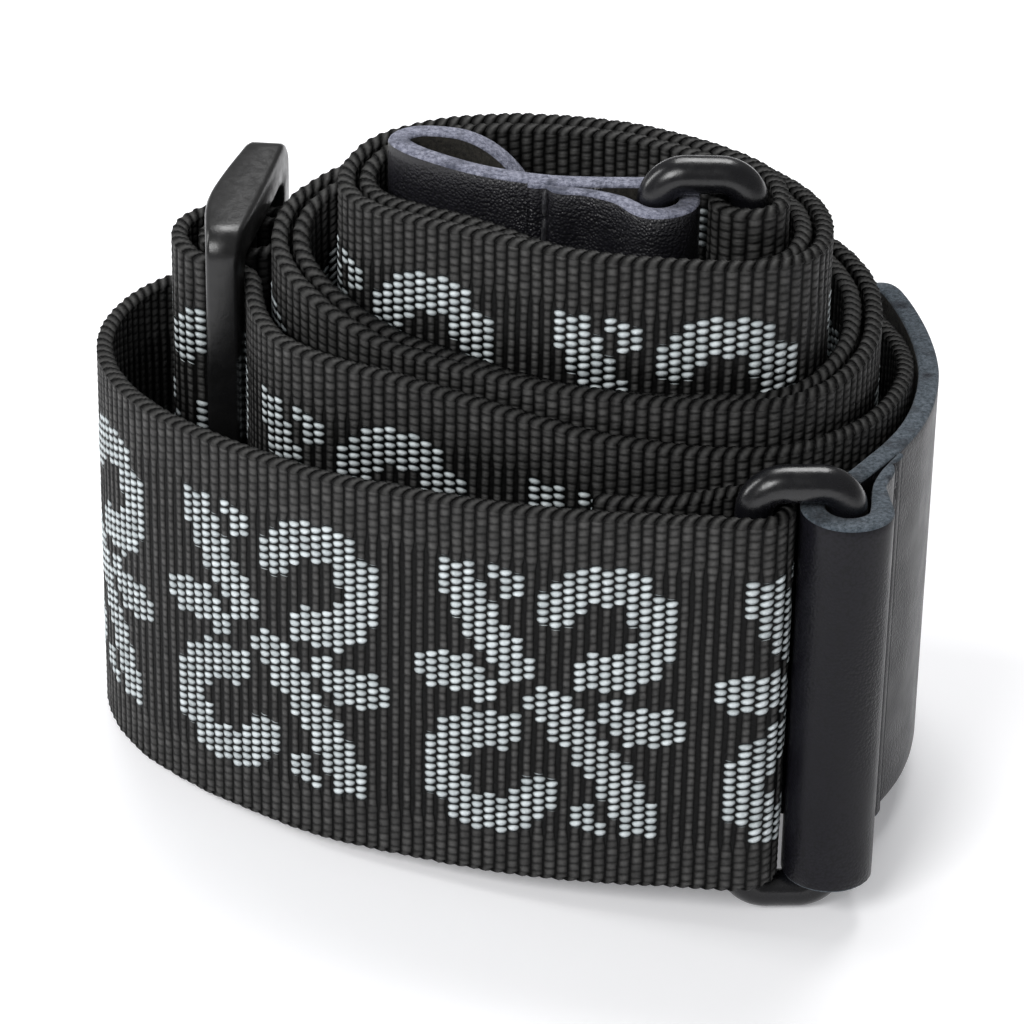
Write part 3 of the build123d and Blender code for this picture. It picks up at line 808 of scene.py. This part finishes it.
def weave_material():
    """Ribbed black weave with silver floats, drawn from the mesh's rib and row numbers."""
    n = Nodes("webbing_weave")
    uv = n.tree.nodes.new("ShaderNodeUVMap")
    uv.uv_map = "weave"
    split = n.tree.nodes.new("ShaderNodeSeparateXYZ")
    n.put(split.inputs[0], uv.outputs[0])
    silver, edge = n.mark("silver"), n.mark("edge")
    rib, row = split.outputs[0], split.outputs[1]
    cell = n.tree.nodes.new("ShaderNodeCombineXYZ")
    n.put(cell.inputs[0], n.math("FLOOR", rib))
    n.put(cell.inputs[1], n.math("FLOOR", row))
    chance = n.tree.nodes.new("ShaderNodeTexWhiteNoise")
    chance.noise_dimensions = "2D"
    n.put(chance.inputs["Vector"], cell.outputs[0])
    luck = chance.outputs["Value"]
    here = n.here()

    # Where a point is in its cell: the ribs waver, and the yarns lean.
    waver = n.noise(300.0, 2.0, here)
    x = n.math("SUBTRACT", n.math("FRACT", rib), n.math("MULTIPLY_ADD", waver, 0.16, 0.42))
    y = n.math("SUBTRACT", n.math("FRACT", row), 0.5)
    lean = n.math("ADD", y, n.math("MULTIPLY", x, n.math("MULTIPLY_ADD", luck, 0.16, 0.06)))

    # A silver float is an oval bead.
    float_width, float_height = 0.51, 0.455
    over_width = n.math("POWER", n.math("ABSOLUTE", n.math("DIVIDE", x, float_width)), 2.0)
    over_height = n.math("POWER", n.math("ABSOLUTE", n.math("DIVIDE", lean, float_height)), 2.0)
    bead = n.math("ADD", over_width, over_height)
    on_bead = n.spread(bead, 0.75, 1.05, 1.0, 0.0)

    # A black rib is a column of short yarns, narrower among the figure than in the borders. A painted
    # highlight runs down its middle and over each yarn's crown.
    from_middle = n.math("ABSOLUTE", n.math("SUBTRACT", row, ROWS / 2))
    half_rib = n.spread(from_middle, ROWS / 2 - BORDER - 1, ROWS / 2 - BORDER + 0.5, 0.34, 0.47)
    off_middle = n.math("DIVIDE", x, half_rib)
    column = n.math("MAXIMUM", n.math("SUBTRACT", 1.0, n.math("MULTIPLY", off_middle, off_middle)), 0.0)
    yarn = n.spread(n.math("ABSOLUTE", lean), 0.20, 0.50, 1.0, 0.22)
    threads = n.noise(1500.0, 3.0, here)
    rib_highlight = n.math("MULTIPLY", n.math("MULTIPLY", column, yarn), n.math("MULTIPLY_ADD", threads, 1.2, 0.35))

    # The edge is a rope of slanted strands, each with a painted highlight on its crown.
    phase = n.math("FRACT", n.math("MULTIPLY_ADD", row, 0.9, rib))
    rope = n.math("SINE", n.math("MULTIPLY", phase, math.pi))
    strand = n.math("MULTIPLY", n.spread(rope, 0.35, 0.98), n.math("MULTIPLY_ADD", threads, 1.3, 0.25))

    # Painted highlight on the silver floats, stronger on floats picked at random and along the fibres.
    float_highlight = n.math("MULTIPLY_ADD", luck, 0.45, n.math("MULTIPLY", threads, 0.75))
    silver_color = n.mix(float_highlight, YARN_SILVER, YARN_SILVER_HIGHLIGHT)
    # Painted shade darkens each float towards its rim.
    silver_color = n.mix(n.spread(bead, 0.25, 1.0), silver_color, YARN_SILVER_RIM_SHADE)
    silver_color = n.mix(on_bead, n.mix(column, YARN_BLACK, YARN_GAP_HIGHLIGHT), silver_color)
    # Painted highlight on the crowns of the black ribs.
    black_color = n.mix(rib_highlight, YARN_BLACK, YARN_BLACK_HIGHLIGHT)
    # Painted shade on black yarns picked at random, as if they lay deeper.
    black_color = n.mix(n.math("MULTIPLY", luck, 0.45), black_color, YARN_SUNK_SHADE)
    edge_color = n.mix(strand, YARN_BLACK, YARN_EDGE_HIGHLIGHT)
    color = n.mix(edge, n.mix(silver, black_color, silver_color), edge_color)

    silver_height = n.math("SQRT", n.math("MAXIMUM", n.math("SUBTRACT", 1.0, bead), 0.0))
    black_height = n.math("MULTIPLY", n.math("SQRT", column), n.math("MULTIPLY_ADD", yarn, 0.35, 0.45))
    height = n.between(edge, n.between(silver, black_height, silver_height), rope)
    normal = n.bump(n.math("ADD", height, n.math("MULTIPLY", threads, 0.30)), 0.00055, 1.0)
    rough = n.spread(silver, 0.0, 1.0, 0.55, 0.36)
    return n.set(color=color, rough=rough, normal=normal, specular=0.12)


def leather_grain(name, depth, specular):
    """Black pebbled leather, its grain deeper in patches."""
    n = Nodes(name)
    here = n.here()
    tone = n.noise(60.0, 3.0, here)
    pebbles = n.cells(2900.0, here)
    fine = n.noise(4200.0, 2.0, here)
    color = n.mix(n.spread(tone, 0.35, 0.7), (0.0055, 0.0053, 0.0078, 1), (0.0105, 0.0100, 0.0140, 1))
    # Painted shade in the creases between the pebbles.
    color = n.mix(n.spread(pebbles, 0.45, 0.75), color, (0.005, 0.005, 0.0065, 1))
    height = n.math("ADD", n.math("MULTIPLY", pebbles, -1.0), n.math("MULTIPLY", fine, 0.35))
    patches = n.spread(n.noise(70.0, 2.0, here), 0.40, 0.62, 0.12, 1.0)
    normal = n.bump(n.math("MULTIPLY", height, patches), depth, 0.7)
    rough = n.spread(n.noise(240.0, 2.0, here), 0.3, 0.7, 0.34, 0.44)
    return n.set(color=color, rough=rough, normal=normal, specular=specular, coat=0.07, coat_rough=0.22)


def leather_edge(name, dark, light, hollow_shade):
    """The fibrous cut edge of leather, with painted shade in its hollows."""
    n = Nodes(name)
    here = n.here()
    fibre = n.noise(2400.0, 4.0, here, 0.7)
    patch = n.noise(350.0, 3.0, here)
    color = n.mix(n.spread(fibre, 0.35, 0.68), dark, light)
    # Painted shade in the edge's hollows, laid on patches of noise.
    color = n.mix(n.spread(patch, 0.52, 0.72), color, hollow_shade)
    normal = n.bump(fibre, 0.0004, 0.9)
    return n.set(color=color, rough=0.85, normal=normal, sheen=0.1, sheen_rough=0.5, specular=0.2)


def leather_flesh():
    """The rough side of the leather."""
    n = Nodes("leather_flesh_side")
    fibre = n.noise(1500.0, 5.0, n.here(), 0.75)
    color = n.mix(n.spread(fibre, 0.35, 0.75), (0.012, 0.011, 0.010, 1), (0.060, 0.055, 0.045, 1))
    normal = n.bump(fibre, 0.0006, 1.0)
    return n.set(color=color, rough=0.9, normal=normal, sheen=0.06, sheen_rough=0.6, specular=0.12)


def moulded(name, base, rough, grit_scale):
    """Black moulded plastic with fine grit and uneven gloss."""
    n = Nodes(name)
    here = n.here()
    tone = n.spread(n.noise(120.0, 2.0, here), 0.3, 0.7)
    color = n.mix(tone, (*(c * 0.8 for c in base), 1), (*(c * 1.25 for c in base), 1))
    scuffs = n.spread(n.noise(900.0, 3.0, here), 0.35, 0.7, rough * 0.85, rough * 1.2)
    normal = n.bump(n.noise(grit_scale, 2.0, here), 0.00003, 0.6)
    return n.set(color=color, rough=scuffs, normal=normal, specular=0.5)


def thread_material():
    """Black waxed thread."""
    n = Nodes("waxed_thread")
    twist = n.noise(1800.0, 3.0, n.here())
    color = n.mix(n.spread(twist, 0.3, 0.7), (0.006, 0.006, 0.008, 1), (0.030, 0.030, 0.036, 1))
    return n.set(color=color, rough=0.5, normal=n.bump(twist, 0.0002, 0.7), sheen=0.1)


def floor_material():
    """White studio paper that glows a little."""
    n = Nodes("studio_floor")
    color = n.mix(n.noise(3.0, 2.0, n.here()), (0.90, 0.90, 0.915, 1), (0.93, 0.93, 0.94, 1))
    return n.set(color=color, rough=0.9, specular=0.1, glow_color=(0.97, 0.97, 1.0, 1), glow=0.22)


# --- build -------------------------------------------------------------------------------------

weave = weave_material()
smooth_grain = leather_grain("leather_smooth_grain", 0.00010, 0.15)
creased_grain = leather_grain("leather_creased_grain", 0.00026, 0.55)
flesh = leather_flesh()
pale_edge = leather_edge(
    "leather_pale_edge", (0.075, 0.082, 0.120, 1), (0.36, 0.37, 0.46, 1), (0.045, 0.050, 0.075, 1),
)
dark_edge = leather_edge(
    "leather_dark_edge", (0.022, 0.034, 0.044, 1), (0.13, 0.155, 0.185, 1), (0.014, 0.017, 0.024, 1),
)
gloss = moulded("ring_gloss", (0.0040, 0.0040, 0.0052), 0.26, 1500.0)
satin = moulded("slider_satin", (0.0070, 0.0070, 0.0073), 0.33, 3200.0)
thread = thread_material()

web, flat_length = webbing(weave)
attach(web, "strap")
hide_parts("webbing")

for name, node, bars, middle, body in (
    ("outer_ring_moulding", "outer_ring", (OUTER_BAR, OUTER_TAB_BAR), OUTER_RING_Z, "outer_loop"),
    ("inner_ring_moulding", "inner_ring", (INNER_BAR, INNER_TAB_BAR), INNER_RING_Z, "inner_loop"),
):
    piece = ring(name, *bars, middle, gloss)
    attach(piece, body)
    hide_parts(node)

slider_frame, slider_bar = slider(satin)
for piece in (slider_frame, slider_bar):
    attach(piece, "adjuster")
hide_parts("slider")

outer_tab = Tab(
    name="outer_tab_leather", node="outer_leather_tab", body="outer_tab",
    arm=[
        (39.9, 43.8), (45.0, 36.2), (48.0, 26.5), (49.1, 16.0), (48.3, 8.5), (46.5, 2.2), (44.1, -2.8),
        (41.4, -7.0), (38.9, -10.6),
    ],
    fold=around(OUTER_TAB_BAR, FOLD_R, 100, 232, 10, FOLD_T),
    flap=[
        (39.8, -13.6, 2.0), (40.1, -11.2, FLAP_T), (41.1, -8.4, FLAP_T), (42.3, -6.2, 0.9), (43.3, -4.4, 0.6),
    ],
    side=1, middle=OUTER_RING_Z, hole_reach=24.0, seam_back=2.1, edge=dark_edge, grain=smooth_grain,
)
inner_tab = Tab(
    name="inner_tab_leather", node="inner_leather_tab", body="inner_tab",
    arm=[
        (3.6, 17.8), (-0.2, 20.0), (-4.6, 21.9), (-8.8, 23.0), (-12.0, 22.9), (-14.2, 21.4), (-14.9, 19.2),
        (-13.4, 16.8), (-9.5, 13.8), (-4.0, 10.9), (3.0, 9.0), (9.4, 8.7),
    ],
    fold=around(INNER_TAB_BAR, FOLD_R, 95, -200, 9, LEATHER_T),
    flap=[(11.8, 6.4, 1.8), (7.6, 8.1, FLAP_T), (4.6, 8.5, FLAP_T), (2.6, 8.8, 0.9), (0.8, 9.15, 0.6)],
    side=-1, middle=INNER_RING_Z, hole_reach=11.0, seam_back=1.9, edge=pale_edge, grain=creased_grain,
)
for tab in (outer_tab, inner_tab):
    leather, seam, outward = leather_tab(tab, flesh)
    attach(leather, tab.body)
    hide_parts(tab.node)
    stitches = tab_stitches(tab, seam, outward, thread)
    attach(stitches, tab.body)
    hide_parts(tab.body + "_stitching")

# The webbing's own seams keep the CAD's threads.
for node in ("loop_stitching", "slider_end_stitching"):
    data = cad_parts[node].data
    data.materials.clear()
    data.materials.append(thread)

# --- studio ------------------------------------------------------------------------------------

AIM = Vector((0, 0, 42.2)) + HOME
DISTANCE, ELEVATION, ROLL = 560.0, math.radians(31), math.radians(1.1)
LENS, SENSOR = 172.265625, 36.0  # a long lens

forward = Vector((0, math.cos(ELEVATION), -math.sin(ELEVATION)))
level, upright = Vector((1, 0, 0)), Vector((0, math.sin(ELEVATION), math.cos(ELEVATION)))
camera_right = level * math.cos(ROLL) + upright * math.sin(ROLL)
camera_up = upright * math.cos(ROLL) - level * math.sin(ROLL)
camera_data = bpy.data.cameras.new("camera")
camera_data.sensor_width = SENSOR
camera_data.lens = LENS
camera_data.clip_start, camera_data.clip_end = 0.01, 20.0
camera = bpy.data.objects.new("camera", camera_data)
camera.matrix_world = (
    Matrix.Translation((AIM - forward * DISTANCE) * MM)
    @ Matrix((camera_right, camera_up, -forward)).transposed().to_4x4()
)
bpy.context.scene.collection.objects.link(camera)
bpy.context.scene.camera = camera

# Lights: place and size in metres, and power in watts. All are turned to the middle of the strap.
LIT = Vector((0, 0, 0.04))
for name, place, size, power in (
    ("front_key", (-0.50, -0.80, 0.80), (0.50, 0.50), 9.0),
    ("top_back", (0.05, 0.45, 0.85), (0.60, 0.40), 6.5),
    ("left_strip", (-0.85, 0.20, 0.45), (0.20, 0.60), 3.0),
):
    light = bpy.data.lights.new(name, "AREA")
    light.shape = "RECTANGLE"
    light.size, light.size_y = size
    light.energy = power
    lamp = bpy.data.objects.new(name, light)
    lamp.location = place
    lamp.rotation_euler = (LIT - Vector(place)).to_track_quat("-Z", "Y").to_euler()
    bpy.context.scene.collection.objects.link(lamp)

world = bpy.data.worlds.new("studio")
world.use_nodes = True
world.node_tree.nodes["Background"].inputs[0].default_value = (1, 1, 1, 1)
world.node_tree.nodes["Background"].inputs[1].default_value = 0.25
bpy.context.scene.world = world
bpy.context.scene.view_settings.view_transform = "Standard"

FLOOR_HALF, FLOOR_Z = 3000.0, -0.05
floor = mesh_object(
    "floor", [(x * FLOOR_HALF, y * FLOOR_HALF, FLOOR_Z) for x, y in ((-1, -1), (1, -1), (1, 1), (-1, 1))],
    [(0, 1, 2, 3)], [floor_material()], smooth=False,
)
